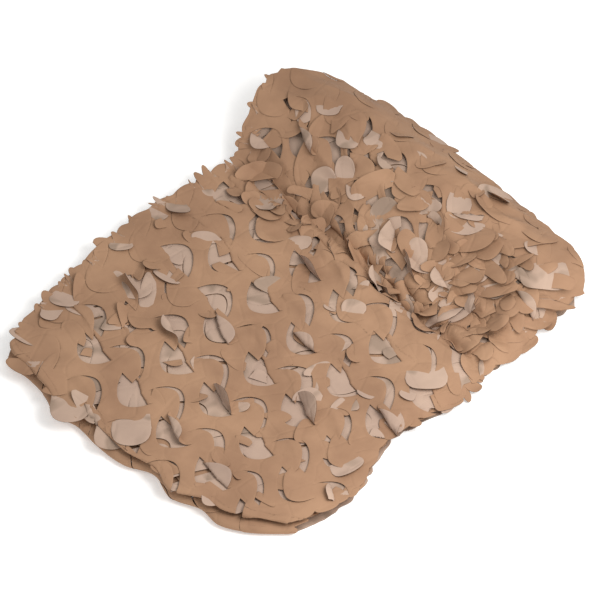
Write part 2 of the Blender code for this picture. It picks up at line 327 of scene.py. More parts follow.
# a line across the sheet, given as its p in every column of the form, read at q
def lineAt(line, q):
    return np.interp(q, form["across"][::-1], line[::-1])


# The leaf slit and its repeat, in the plan of the sheet: p along it, q across it.
slit = {
    "step": (0.118, -0.011),       # from slit to slit in a row
    "rowStep": (-0.031, -0.131),   # from row to row, towards the near edge
    "first": (-0.269, -0.019),     # p and q of one slit's middle on the top layer
    "jitter": 0.22,                # of the mesh points beside it, as a share of their spacing
    "rowSpacing": 0.88,            # between rows of those points, as a share of it
    "clear": 0.62,                 # how near they may come to a slit, as a share of it
    "curveSteps": 400,             # along the fine curve that its even points are read from
    "inward": 0.1,                 # how far a point is moved, as a share, to tell the slit's two sides apart
    "seed": 11,
}

# half of the slit from its tip to the corner beside its middle; the other half is the same, turned round
slitHalf = tableOf(
    "p q",
    (0.0240, 0.0800),
    (0.0440, 0.0690),
    (0.0575, 0.0530),
    (0.0615, 0.0350),
    (0.0530, 0.0175),
    (0.0375, 0.0035),
    (0.0190, -0.0070),
    (-0.0030, -0.0160),
)
cellVectors = np.array((slit["step"], slit["rowStep"]))
cellArea = abs(np.linalg.det(cellVectors))

# the crumpled part lies drawn up: past a place along the form, the cloth takes less room than its own size
drawn = {"from": 0.12, "ease": 0.06, "along": 0.76, "across": 0.86}


# cloth to form: p less (1 - along) * past^2 / (past + ease), q times 1 - (1 - across) * past / (past + ease)
def drawUp(p, q):
    past = np.maximum(p - drawn["from"], 0)
    share = past / (past + drawn["ease"])
    return p - (1 - drawn["along"]) * past * share, q * (1 - (1 - drawn["across"]) * share)


# p and q of places that are counted in steps of the repeat and moved on by off, drawn up
def planOf(steps, off=0):
    return drawUp(*np.moveaxis(steps @ cellVectors + off + slit["first"], -1, 0))


# Points at even steps along the slit: the smooth curve through its half, the straight middle, then the half
# turn of the curve. Also the numbers of the points at the middle's two corners.
def slitPoints(spacing):
    chart = np.stack((column(slitHalf, "p"), column(slitHalf, "q")), 1)
    knots = np.arange(len(chart), dtype=float)
    fine = np.linspace(0, len(chart) - 1, slit["curveSteps"])
    curve = np.stack([smoothThrough(fine, knots, chart[:, k]) for k in range(2)], 1)
    length = np.concatenate(((0,), np.cumsum(np.linalg.norm(np.diff(curve, axis=0), axis=1))))
    even = np.linspace(0, length[-1], int(round(length[-1] / spacing)) + 1)
    half = np.stack([np.interp(even, length, curve[:, k]) for k in range(2)], 1)
    middle = max(2, int(round(2 * np.linalg.norm(half[-1]) / spacing)))
    across = half[-1] * (1 - 2 * np.linspace(0, 1, middle + 1)[1:-1, None])
    return np.concatenate((half, across, -half[::-1])), len(half) - 1, len(half) - 1 + middle


# how far b turns to the left of a, times both lengths
def crossOf(a, b):
    return a[..., 0] * b[..., 1] - a[..., 1] * b[..., 0]


# Plain points of one cell, in rows that are moved on by half a step in turn and jittered, without those that
# come too near to a slit; the slit's own points come first.
def cellPoints(cut, spacing, shifts):
    rng = np.random.default_rng(slit["seed"])
    columns = int(round(np.linalg.norm(cellVectors[0]) / spacing))
    rows = int(round(cellArea / np.linalg.norm(cellVectors[0]) / (spacing * slit["rowSpacing"])))
    i, j = np.meshgrid(np.arange(columns), np.arange(rows), indexing="ij")
    share = np.stack(((i + 0.5 * (j % 2)) / columns, j / rows), -1).reshape(-1, 2)
    plain = share @ cellVectors + rng.uniform(-1, 1, (columns * rows, 2)) * spacing * slit["jitter"]
    allCuts = (cut[None] + (shifts @ cellVectors)[:, None]).reshape(-1, 2)
    parts = np.array_split(plain, 16)   # one after another, to save memory
    gap = [((part[:, None] - allCuts[None])**2).sum(2).min(1) for part in parts]
    return np.concatenate((cut, plain[np.sqrt(np.concatenate(gap)) > slit["clear"] * spacing]))


# One cell of the repeat as triangles: its points, joined by a constrained Delaunay triangulation of the cells
# around it. Triangles whose middle lies in the cell are kept, each corner as a base point and a whole number
# of cells away. Points inside the slit are doubled, and a corner takes the second one where its triangle lies
# to the left of the slit.
def cellPattern(spacing):
    cut, cornerA, cornerB = slitPoints(spacing)
    shifts = np.array([(a, b) for a in (-1, 0, 1) for b in (-1, 0, 1)])
    base = cellPoints(cut, spacing, shifts)
    points = (base[None] + (shifts @ cellVectors)[:, None]).reshape(-1, 2)
    firsts = [k * len(base) + n for k in range(len(shifts)) for n in range(len(cut) - 1)]
    edges = [(n, n + 1) for n in firsts]
    result = delaunay_2d_cdt([Vector(point) for point in points], edges, [], 0, 1e-7, True)
    source = np.array([ids[0] for ids in result[3]])
    triangles = source[np.array(result[2])]
    middles = points[triangles].mean(1)
    inside = (np.floor(middles @ np.linalg.inv(cellVectors) + 1e-9) == 0).all(1)
    triangles, middles = triangles[inside], middles[inside]
    a, b, c = (points[triangles[:, k]] for k in range(3))
    turned = crossOf(b - a, c - a) < 0
    triangles[turned] = triangles[turned][:, ::-1]
    corner, shift = triangles % len(base), shifts[triangles // len(base)]
    home = middles[:, None] - shift @ cellVectors   # the triangle's middle, beside its corner's base point

    # direction of each corner's triangle, between the slit's directions ahead and behind
    onCut = (corner > 0) & (corner < len(cut) - 1)
    at = np.where(onCut, corner, 1)
    ahead, behind = cut[at + 1] - cut[at], cut[at - 1] - cut[at]
    angleOf = lambda d: np.arctan2(d[..., 1], d[..., 0])
    turnTo = lambda d: (angleOf(d) - angleOf(ahead)) % (2 * np.pi)
    left = onCut & (turnTo(home - cut[at]) < turnTo(behind))
    corner = np.where(left, corner - 1 + len(base), corner)
    doubled = np.concatenate((base, cut[1:-1]))

    # each point moved a little towards the middle of its own triangles
    total, count = np.zeros_like(doubled), np.zeros(len(doubled))
    np.add.at(total, corner.ravel(), home.reshape(-1, 2))
    np.add.at(count, corner.ravel(), 1)
    inward = doubled + (total / np.maximum(count, 1)[:, None] - doubled) * slit["inward"]
    return {"points": doubled, "inward": inward, "corner": corner, "shift": shift, "cut": cut,
            "cornerA": cornerA, "cornerB": cornerB}


# for each point: its distance from the slit, the side it is on (1 left, -1 right), its share along the slit
def besideSlit(points, cut):
    start, run = cut[:-1], np.diff(cut, axis=0)
    size = np.linalg.norm(run, axis=1)
    offset = points[:, None] - start[None]
    along = np.clip((offset * run).sum(2) / size**2, 0, 1)
    away = np.linalg.norm(offset - along[..., None] * run, axis=2)
    sideways = crossOf(run[None], offset) / size
    near = np.argmin(away - 1e-3 * np.abs(sideways), 1)
    pick = np.arange(len(points)), near
    return away[pick], np.sign(sideways[pick]), (near + along[pick]) / len(run)


# true where a point is inside the polygon, by counting the edges to its right
def insidePolygon(points, polygon):
    a, b = polygon, np.roll(polygon, -1, axis=0)
    x, y = points[:, 0, None], points[:, 1, None]
    spans = (a[:, 1] > y) != (b[:, 1] > y)
    rise = np.where(b[:, 1] == a[:, 1], 1, b[:, 1] - a[:, 1])
    return (spans & (x < (b[:, 0] - a[:, 0]) * (y - a[:, 1]) / rise + a[:, 0])).sum(1) % 2 == 1


# What each slit around the cell does to each point of the pattern: the side, distance and share along it, and
# where the point lies on the slit's upper and lower leaf, as distance out from the hinge and place along it.
def slitReach(pattern):
    cut = pattern["cut"]
    leaf = np.concatenate((cut[:pattern["cornerA"] + 1], cut[pattern["cornerB"]][None]))
    hinge = cut[pattern["cornerB"]] - cut[0]
    hinge /= np.linalg.norm(hinge)
    outward = np.array((-hinge[1], hinge[0]))
    outward *= np.sign((leaf.mean(0) - cut[0]) @ outward)
    middle = (cut[pattern["cornerB"]] + cut[0]) / 2
    reach = []
    for copy in [(a, b) for b in (-1, 0, 1, 2) for a in (-1, 0, 1, 2)]:
        local = pattern["inward"] - copy @ cellVectors
        away, side, share = besideSlit(local, cut)
        leaves = []
        for turn in (1, -1):
            offset = (pattern["points"] - copy @ cellVectors) * turn - middle
            leaves.append({"member": insidePolygon(local * turn, leaf), "turn": turn,
                           "out": offset @ outward, "along": offset @ hinge})
        reach.append({"copy": copy, "away": away, "side": side, "share": share, "leaves": leaves})
    return {"slits": reach, "hinge": hinge, "outward": outward}


# How the slits and their leaves stand. A leaf bends once near its hinge and once near its tip.
opening = {
    "width": 0.020,            # of an open slit
    "spread": 0.35,            # how much that varies from slit to slit, as a share
    "turn": -22.0,             # degrees from p towards q, the way the right side is carried
    "turnSpread": 18.0,
    "reach": 0.030,            # how far from the slit the cloth is carried with it
    "tipEase": 0.8,            # lower: a slit opens more abruptly at its two ends
    "lift": 0.0006,            # how far one side stands over the other
    "lowerShare": 0.5,         # the most of all this, on the layers under the top one
    "foldShare": 0.10,         # of all this, beside a fold
    "foldReach": 0.055,        # how far from a fold's middle that goes
    "topFrom": -0.030,         # past the last fold's middle, where the top layer's slits begin
    "slide": 0.0045,           # how far a leaf has slid over the cloth beside it
    "spin": 7.0,               # and how far it has turned, in degrees
    "over": 0.0010,            # how far it then lies over or under that cloth
    "looser": 1.7,             # how much more of these three there is on the crumpled part
    "stiller": 0.2,            # and how much there is beside a fold and on the lower layers
    "freeFrom": 0.022,         # distance from its hinge where all of a leaf has slid
    "skewIn": 0.020,           # how much farther out a leaf bends whose bend is turned by 45 degrees
    "wider": 1.5,              # how much wider the slits of the crumpled part are
    "seed": 5,
}
# start, radius: of the bend beside the hinge, with its turn in degrees; up is above zero. tip: the second
# bend. skew: how far the bend may turn from the hinge, in degrees.
leafKinds = {row["kind"]: row for row in tableOf(
    "kind start turn radius tipStart tipTurn tipRadius skew",
    ("flat", 0.010, 3, 0.060, 0.028, -2, 0.06, 0),
    ("lifted", 0.006, 14, 0.040, 0.026, -16, 0.03, 10),
    ("standing", 0.012, 82, 0.004, 0.036, 15, 0.02, 8),
    ("leaning", 0.010, 118, 0.005, 0.030, 15, 0.02, 8),
    ("over", 0.012, 166, 0.004, 0.036, -4, 0.05, 8),
    ("tucked", 0.007, -179, 0.0022, 0.040, 0, 0.05, 4),
    ("curled", 0.012, 40, 0.010, 0.027, 110, 0.007, 14),
    ("pinched", 0.020, 158, 0.002, 0.060, 0, 0.05, 32),
)}
# how much each of these numbers varies from leaf to leaf, as a share
leafPlay = {"turn": 0.12, "tipTurn": 0.5, "radius": 0.25, "tipRadius": 0.25, "start": 0.25, "tipStart": 0.10}

# how often each kind comes where no leaf is listed one by one; a later row covers the ones above it
leafMix = tableOf(
    "place flat lifted standing leaning over tucked curled pinched",
    ("flatUpper", 0.30, 0.28, 0.03, 0, 0, 0.16, 0.04, 0.19),
    ("flatLower", 0.12, 0.18, 0.08, 0.06, 0, 0.34, 0, 0.22),
    ("rolled", 0.30, 0.36, 0.06, 0.05, 0.04, 0.09, 0.04, 0.06),
    ("rolledNear", 0.22, 0.28, 0.08, 0.10, 0.05, 0.11, 0.06, 0.10),
    ("valley", 0.34, 0.30, 0, 0, 0, 0.20, 0, 0.16),
    ("end", 1.0, 0, 0, 0, 0, 0, 0, 0),
    ("under", 1.0, 0, 0, 0, 0, 0, 0, 0),
)
# p, q, and how far short of the last cut end and of the cut edges
mixPlaces = {"rolledFrom": 0.13, "valley": (0.12, 0.25), "nearFrom": -0.13, "end": 0.150, "edge": 0.050}

# Leaves of the top layer placed one by one. along, across: steps from the first slit. open: share of the
# width.
placedLeaves = tableOf(
    "along across upper lower open",
    (0, 0, "flat", "standing", 1.0),
    (1, 0, "lifted", "tucked", 0.9),
    (2, 0, "lifted", "curled", 1.1),
    (-1, 0, "flat", "curled", 1.1),
    (-2, 0, "tucked", "flat", 1.1),
    (0, 1, "flat", "tucked", 1.1),
    (1, 1, "lifted", "leaning", 1.3),
    (2, 1, "flat", "tucked", 1.1),
    (3, 1, "lifted", "tucked", 1.0),
    (-1, 1, "flat", "pinched", 1.2),
    (-2, 1, "lifted", "lifted", 0.8),
    (0, 2, "lifted", "flat", 1.3),
    (1, 2, "lifted", "flat", 1.1),
    (2, 2, "flat", "curled", 1.1),
    (-1, 2, "flat", "lifted", 0.9),
    (0, 3, "pinched", "flat", 1.0),
    (-1, -1, "flat", "tucked", 0.9),
    (0, -1, "curled", "tucked", 1.0),
    (1, -1, "tucked", "pinched", 1.0),
    (2, -1, "flat", "tucked", 1.1),
    (3, -1, "lifted", "standing", 1.0),
    (-2, -1, "lifted", "pinched", 1.0),
    (0, -2, "curled", "lifted", 1.1),
    (1, -2, "tucked", "flat", 1.0),
    (2, -2, "flat", "tucked", 0.9),
    (-1, -2, "lifted", "tucked", 1.0),
)
profileStep = 0.0015   # between the points of a leaf's profile
profileCount = 60
slitColumns, slitRows = np.arange(-60, 16), np.arange(-8, 14)   # steps of the repeat that cover the sheet
openingRng = np.random.default_rng(opening["seed"])


# the place of a listed leaf's slit in tables by column and row
def slotOf(row):
    return row["along"] - slitColumns[0], row["across"] - slitRows[0]


# the parts of the sheet, each as true where a slit is on it
def slitPlaces():
    i, j = np.meshgrid(slitColumns, slitRows, indexing="ij")
    p, q = planOf(np.stack((i, j), -1))
    folded = form["foldMiddle"]
    onTop = p > lineAt(folded[-1], q) + opening["topFrom"]
    atFold = np.min([np.abs(p - lineAt(line, q)) for line in folded], 0) < opening["foldReach"]
    near, far = np.moveaxis(blended(form["edges"], *findForm(p, q)), -1, 0)
    inside = np.minimum(q - near, far - q)
    atEnd = (p > lineAt(form["last"], q) - mixPlaces["end"]) | (inside < mixPlaces["edge"])
    rolled = p > mixPlaces["rolledFrom"]
    return {"top": onTop, "fold": atFold, "end": atEnd, "under": ~onTop | (atFold & ~atEnd), "rolled": rolled,
            "rolledNear": rolled & (q < mixPlaces["nearFrom"]),
            "valley": (p > mixPlaces["valley"][0]) & (p < mixPlaces["valley"][1])}


# slope of a profile at a run past a bend's start: angle * run / (|angle| * radius), at most angle
def bendSlope(angle, radius, run):
    return angle[..., None] * np.clip(run / np.maximum(np.abs(angle) * radius, 1e-6)[..., None], 0, 1)


# The upper or lower leaf of every slit: its kind is picked by the mix of its place, and from its numbers come
# its bending line, how it has slid, and its profile, whose slope is the sum of both bends' slopes.
def leafTable(leaf, places, slack):
    shape, names = slack.shape, list(leafKinds)
    where = {**places, "flatUpper": places["top"] & (leaf == "upper"),
             "flatLower": places["top"] & (leaf == "lower")}
    kind = np.zeros(shape, int)
    for mix in leafMix:
        odds = np.array([mix[name] for name in names])
        picked = openingRng.choice(len(names), shape, p=odds / odds.sum())
        kind = np.where(where[mix["place"]], picked, kind)
    for row in placedLeaves:
        kind[slotOf(row)] = names.index(row[leaf])
    play = lambda: openingRng.uniform(-1, 1, shape)
    valueOf = lambda name: column(leafKinds.values(), name)[kind]
    value = {name: valueOf(name) * (1 + most * play()) for name, most in leafPlay.items()}
    bend, tipBend = np.clip(np.radians(value["turn"]), -math.pi, math.pi), np.radians(value["tipTurn"])
    skew = np.radians(valueOf("skew") * play())
    slid = {name: openingRng.normal(0, 1, shape) * slack * opening[size]
            for name, size in (("slideP", "slide"), ("slideQ", "slide"), ("spin", "spin"), ("over", "over"))}
    start = value["start"] + np.abs(np.tan(skew)) * opening["skewIn"]
    run = np.arange(profileCount) * profileStep
    slope = bendSlope(bend, value["radius"], run)
    slope += bendSlope(tipBend, value["tipRadius"], run - (value["tipStart"] - start)[..., None])
    across = np.cumsum(np.cos(slope), -1) * profileStep
    height = np.cumsum(np.sin(slope), -1) * profileStep
    return {"start": start, "skew": skew, "across": across - across[..., :1],
            "height": height - height[..., :1], **slid}


# how each slit is carried apart, along p, along q and up, and its two leaves, in tables by its column and row
def slitTables():
    places = slitPlaces()
    shape = places["top"].shape
    vary = lambda: openingRng.uniform(-1, 1, shape)
    lower = opening["lowerShare"] * openingRng.uniform(0, 1, shape)**2
    scale = np.where(places["rolled"], opening["wider"], np.where(places["top"], 1.0, lower))
    scale = np.where(places["end"], 0, np.where(places["fold"], opening["foldShare"], scale))
    slack = np.where(places["rolled"], opening["looser"], 1)
    slack = np.where(places["end"], 0, np.where(places["fold"] | ~places["top"], opening["stiller"], slack))
    width = opening["width"] * (1 + opening["spread"] * vary()) * scale
    turn = np.radians(opening["turn"] + opening["turnSpread"] * vary())
    lift = opening["lift"] * openingRng.normal(0, 1, shape) * scale
    for row in placedLeaves:
        width[slotOf(row)] = opening["width"] * row["open"]
    return {"dp": width / 2 * np.cos(turn), "dq": width / 2 * np.sin(turn), "lift": lift,
            "leaves": [leafTable(leaf, places, slack) for leaf in ("upper", "lower")]}


tables = slitTables()

# Crumples of the top layer. Waves of a length in metres and a height, strongest around p and q; sharp: how
# much of them is creases. A pleat is a row of waves across p, turned by degrees from q and swaying, that lean
# over by lean times their height.
crumples = {
    "waves": 14,
    "longer": (0.7, 1.6),   # the waves' own lengths, as shares of the length that is asked for
    "seed": 23,
    "pleatSeed": 40,        # of the pleats' sway, past that one
    "drawnOut": 0.55,       # a wave's length along p as a share of that along q
    "everywhere": {"length": 0.075, "height": 0.0011},
    "ridge": 1.1,           # height of a crease's top before its waves are taken off
    "pleatSharp": 1.3,      # 1 gives a sharp ridge, 2 an even wave
    "places": tableOf(
        "p q reachP reachQ length height sharp",
        (0.19, 0.24, 0.070, 0.20, 0.060, 0.0040, 0.7),
        (0.17, -0.14, 0.075, 0.20, 0.055, 0.0045, 0.7),
        (0.22, -0.33, 0.090, 0.14, 0.060, 0.0030, 0.9),
        (0.33, -0.10, 0.110, 0.36, 0.095, 0.0045, 0.9),
        (0.50, 0.00, 0.110, 0.50, 0.100, 0.0040, 0.8),
        (-0.48, 0.10, 0.060, 0.40, 0.080, 0.0014, 0.0),
        (0.00, -0.37, 0.400, 0.04, 0.090, 0.0018, 0.3),
    ),
    "pleats": tableOf(
        "p q reachP reachQ length height lean turn sway",
        (0.200, -0.06, 0.055, 0.15, 0.038, 0.0058, 1.6, 10, 0.012),
        (0.195, -0.26, 0.070, 0.10, 0.040, 0.0046, 1.7, -4, 0.014),
        (0.205, 0.18, 0.045, 0.16, 0.036, 0.0048, 1.6, 6, 0.010),
    ),
}


# sum of sine waves in seeded directions and phases, scaled to about -1 to 1
def waveField(p, q, length, seed):
    rng = np.random.default_rng(seed)
    total = np.zeros_like(p)
    for _ in range(crumples["waves"]):
        turn, phase = rng.uniform(0, 2 * math.pi, 2)
        wave = 2 * math.pi / (length * rng.uniform(*crumples["longer"]))
        total += np.sin(wave * (p * math.cos(turn) + q * math.sin(turn)) + phase)
    return total / math.sqrt(crumples["waves"])


# exp(-(dp / reachP)^power - (dq / reachQ)^power)
def nearRow(row, p, q, power):
    return np.exp(-((p - row["p"]) / row["reachP"])**power - ((q - row["q"]) / row["reachQ"])**power)


# Height of the crumples and how far they carry the cloth along p: the even waves, each place's waves w, mixed
# with ridge - 2|w| by its sharp, where it is near, and each pleat's height * (1 - 2 |sin(phase/2)|^sharp),
# carried by lean * height * sin(phase).
def crumple(p, q):
    even, seed = crumples["everywhere"], crumples["seed"]
    height = waveField(p, q, even["length"], seed) * even["height"]
    carried = np.zeros_like(p)
    for n, row in enumerate(crumples["places"]):
        waves = waveField(p, q * crumples["drawnOut"], row["length"], seed + 1 + n)
        creases = crumples["ridge"] - 2 * np.abs(waves)
        mixed = waves * (1 - row["sharp"]) + row["sharp"] * creases
        height += nearRow(row, p, q, 2) * row["height"] * mixed
    for n, row in enumerate(crumples["pleats"]):
        sway = row["sway"] * waveField(p * 0, q, row["reachQ"], seed + crumples["pleatSeed"] + n)
        turned = math.tan(math.radians(row["turn"])) * (row["q"] - q)
        phase = 2 * math.pi * (p - row["p"] + turned + sway) / row["length"]
        pleat = nearRow(row, p, q, 4) * row["height"]
        height += pleat * (1 - 2 * np.abs(np.sin(phase / 2))**crumples["pleatSharp"])
        carried += pleat * row["lean"] * np.sin(phase)
    return height, carried


# The cut edges run through the leaves and end in round scallops of a length and a depth.
edgeCut = {"length": 0.056, "depth": 0.007, "endDepth": 0.006, "wander": 0.020, "wanderLength": 0.13,
           "nearSeed": 71, "farSeed": 72, "endSeed": 73}


# 1 - |sin(pi * along / length)|, its length wandering with its own wave
def scallops(along, seed):
    wandered = along + edgeCut["wander"] * waveField(along, along * 0, edgeCut["wanderLength"], seed)
    return 1 - np.abs(np.sin(math.pi * wandered / edgeCut["length"]))


# the lines that the cloth ends at, at p and q: near and far cut edge, and the last cut end
def cutLines(p, q):
    near, far = np.moveaxis(blended(form["edges"], *findForm(p, q)), -1, 0)
    return (near + edgeCut["depth"] * scallops(p, edgeCut["nearSeed"]),
            far - edgeCut["depth"] * scallops(-p, edgeCut["farSeed"]),
            lineAt(form["last"], q) - edgeCut["endDepth"] * scallops(q, edgeCut["endSeed"]))


# where the cloth may reach: a tucked leaf under the top layer, the layers below that, and all of it
stray = {"tucked": -0.0030, "lower": 0.0016, "topFrom": -0.015, "low": (-0.570, -0.432, 0.0005),
         "high": (0.575, 0.440, 0.1312)}
# how far past the cloth its cells and triangles are first picked, and how far out to each side
margins = {"cell": 0.16, "cellSide": 0.56, "triangle": 0.01, "triangleSide": 0.46}


# Lays the pattern over the plan between two lines, each a p for every column of the form, and cuts it clean.
# Gives each mesh point's place in the pattern, its slit's column and row in the tables, its p and q, and the
# triangles.
def cutPattern(pattern, start, finish):
    i, j = np.meshgrid(slitColumns[2:-2], slitRows[2:-2], indexing="ij")
    cells = np.stack((i, j), -1).reshape(-1, 2)
    p, q = planOf(cells + 0.5)
    extra = margins["cell"]
    cells = cells[(p > start.min() - extra) & (p < finish.max() + extra) & (np.abs(q) < margins["cellSide"])]
    index = cells[:, None, None] + pattern["shift"][None]
    corner = np.broadcast_to(pattern["corner"][None], index.shape[:3])
    middles = (index @ cellVectors + pattern["points"][corner] + slit["first"]).mean(2)
    p, q = drawUp(middles[..., 0], middles[..., 1])
    extra = margins["triangle"]
    keep = (p > lineAt(start, q) - extra) & (p < lineAt(finish, q) + extra)
    keep &= np.abs(q) < margins["triangleSide"]
    index, corner, p, q = index[keep], corner[keep], p[keep], q[keep]
    near, far, last = cutLines(p, q)
    keep = (q > near - extra) & (q < far + extra) & (p < last + extra)
    index, corner = index[keep], corner[keep]

    # a triangle stays if one corner is inside
    p, q = planOf(index, pattern["points"][corner])
    near, far, last = cutLines(p, q)
    keep = (p > lineAt(start, q)) & (p < np.minimum(lineAt(finish, q), last)) & (q > near) & (q < far)
    index, corner = index[keep.any(1)], corner[keep.any(1)]
    count, rows = len(pattern["points"]), len(slitRows)
    key = ((index[..., 0] - slitColumns[0]) * rows + index[..., 1] - slitRows[0]) * count + corner
    unique, triangles = np.unique(key, return_inverse=True)
    point, i, j = unique % count, unique // count // rows, unique // count % rows

    # the cut edges and ends are clean cuts through the pattern
    p, q = planOf(np.stack((i + slitColumns[0], j + slitRows[0]), 1), pattern["points"][point])
    near, far, last = cutLines(p, q)
    q = np.clip(q, near, far)
    p = np.clip(p, lineAt(start, q), np.minimum(lineAt(finish, q), last))
    triangles = triangles.reshape(-1, 3)
    a, b, c = (np.stack((p, q), 1)[triangles[:, k]] for k in range(3))
    return point, i, j, p, q, triangles[crossOf(b - a, c - a) > 1e-8]


# How far the slits around each point carry it, along p, along q and up: each slit's own way times
# sin(pi * share)^tipEase * exp(-(distance / reach)^2), and on a leaf its profile, slide, spin and rise.
def carryPoints(reach, point, i, j):
    moveP, moveQ, height = np.zeros((3, len(point)))
    for one in reach["slits"]:
        si = np.clip(i + one["copy"][0], 0, len(slitColumns) - 1)
        sj = np.clip(j + one["copy"][1], 0, len(slitRows) - 1)
        taper = np.sin(math.pi * one["share"][point])**opening["tipEase"]
        carried = one["side"][point] * taper * np.exp(-(one["away"][point] / opening["reach"])**2)
        moveP += carried * tables["dp"][si, sj]
        moveQ += carried * tables["dq"][si, sj]
        height += carried * tables["lift"][si, sj]
        for leaf, table in zip(one["leaves"], tables["leaves"]):
            on = np.flatnonzero(leaf["member"][point])
            ti, tj, out, along = si[on], sj[on], leaf["out"][point[on]], leaf["along"][point[on]]
            cos, sin = np.cos(table["skew"][ti, tj]), np.sin(table["skew"][ti, tj])
            axis = reach["outward"][None] * cos[:, None] + reach["hinge"][None] * sin[:, None]
            past = out * cos + along * sin - table["start"][ti, tj]
            step = np.clip(past / profileStep, 0, profileCount - 1.001)
            low = step.astype(int)
            part = step - low
            read = lambda name: table[name][ti, tj, low] * (1 - part) + table[name][ti, tj, low + 1] * part
            bent = np.where(past > 0, read("across") - past, 0)
            free = np.clip(out / opening["freeFrom"], 0, 1)**2
            spun = out[:, None] * reach["hinge"] - along[:, None] * reach["outward"]
            spun = np.radians(table["spin"][ti, tj])[:, None] * spun
            slideP, slideQ = table["slideP"][ti, tj], table["slideQ"][ti, tj]
            moveP[on] += leaf["turn"] * (axis[:, 0] * bent + free * spun[:, 0]) + free * slideP
            moveQ[on] += leaf["turn"] * (axis[:, 1] * bent + free * spun[:, 1]) + free * slideQ
            height[on] += np.where(past > 0, read("height"), 0) + free * table["over"][ti, tj]
    return moveP, moveQ, height


# the pattern between two lines, carried by its slits, crumpled on the top layer and read off the folded form
def layNet(pattern, reach, start, finish):
    point, i, j, p, q, triangles = cutPattern(pattern, start, finish)
    moveP, moveQ, height = carryPoints(reach, point, i, j)
    onTop = p > lineAt(form["foldMiddle"][-1], q) + stray["topFrom"]
    crumpled, carriedOn = crumple(p + moveP, q + moveQ)
    height = np.where(onTop, np.maximum(height, stray["tucked"]) + crumpled,
                      np.clip(height, -stray["lower"], stray["lower"]))
    moveP += np.where(onTop, carriedOn, 0)
    return np.clip(onForm(p + moveP, q + moveQ, height), stray["low"], stray["high"]), triangles


# one mesh object from the points that its triangles use
def newPiece(name, points, triangles, materials):
    used, again = np.unique(triangles, return_inverse=True)
    points, triangles = points[used], again.reshape(-1, 3)
    mesh = bpy.data.meshes.new(name)
    mesh.vertices.add(len(points))
    mesh.vertices.foreach_set("co", points.ravel().astype(np.float32))
    mesh.loops.add(triangles.size)
    mesh.loops.foreach_set("vertex_index", triangles.ravel().astype(np.int32))
    mesh.polygons.add(len(triangles))
    mesh.polygons.foreach_set("loop_start", np.arange(0, triangles.size, 3, dtype=np.int32))
    mesh.update(calc_edges=True)
    mesh.validate()
    for material in materials:
        mesh.materials.append(material)
    mesh.shade_smooth()
    piece = bpy.data.objects.new(name, mesh)
    bpy.context.collection.objects.link(piece)
    return piece


# sRGB hex to the linear colour that the shader takes
def linearColor(code):
    parts = [int(code[k:k + 2], 16) / 255 for k in (1, 3, 5)]
    return tuple(c / 12.92 if c <= 0.04045 else ((c + 0.055) / 1.055)**2.4 for c in parts) + (1.0,)


# adds a node with its settings and its inputs, each a value or another node's output
def addNode(tree, kind, settings=None, inputs=None):
    node = tree.nodes.new(kind)
    for name, value in (settings or {}).items():
        setattr(node, name, value)
    for name, value in (inputs or {}).items():
        if isinstance(value, bpy.types.NodeSocket):
            tree.links.new(value, node.inputs[name])
        else:
            node.inputs[name].default_value = value
    return node


# Sizes are in millimetres. The real threads are about a third as wide: they are drawn coarser, to show.
netCloth = {
    "face": {"color": "#a48064", "dark": "#916f56", "roughness": 0.78},
    "reverse": {"color": "#b49a87", "dark": "#a68d7d", "roughness": 0.85, "patches": "#957f6e"},
    # the cut edge: its dark colour is partly the raw edge and partly painted shadow along the edges of slits
    # and leaves
    "edge": {"color": "#604a3c", "dark": "#544033", "roughness": 0.9},
    "specular": 0.25,           # low, for the dull coating
    "shadeSize": 143,           # of the soft patches of the two close colours
    "shadeSoft": (0.35, 0.65),  # closer together: harder patches
    "patchSize": 66.7,          # of the greyer patches, on the reverse only
    "patchFrom": 0.57,          # higher: fewer of them
    "patchSoft": 0.12,
    "crinkle": {"size": 10.53, "strength": 0.35, "depth": 1.0},   # of the coating
    "thread": {"size": 1.11, "strength": 0.10, "depth": 0.3},
    "crease": {"size": 76.9, "strength": 0.5, "depth": 1.2, "width": 0.06},   # width: a share of the size
}
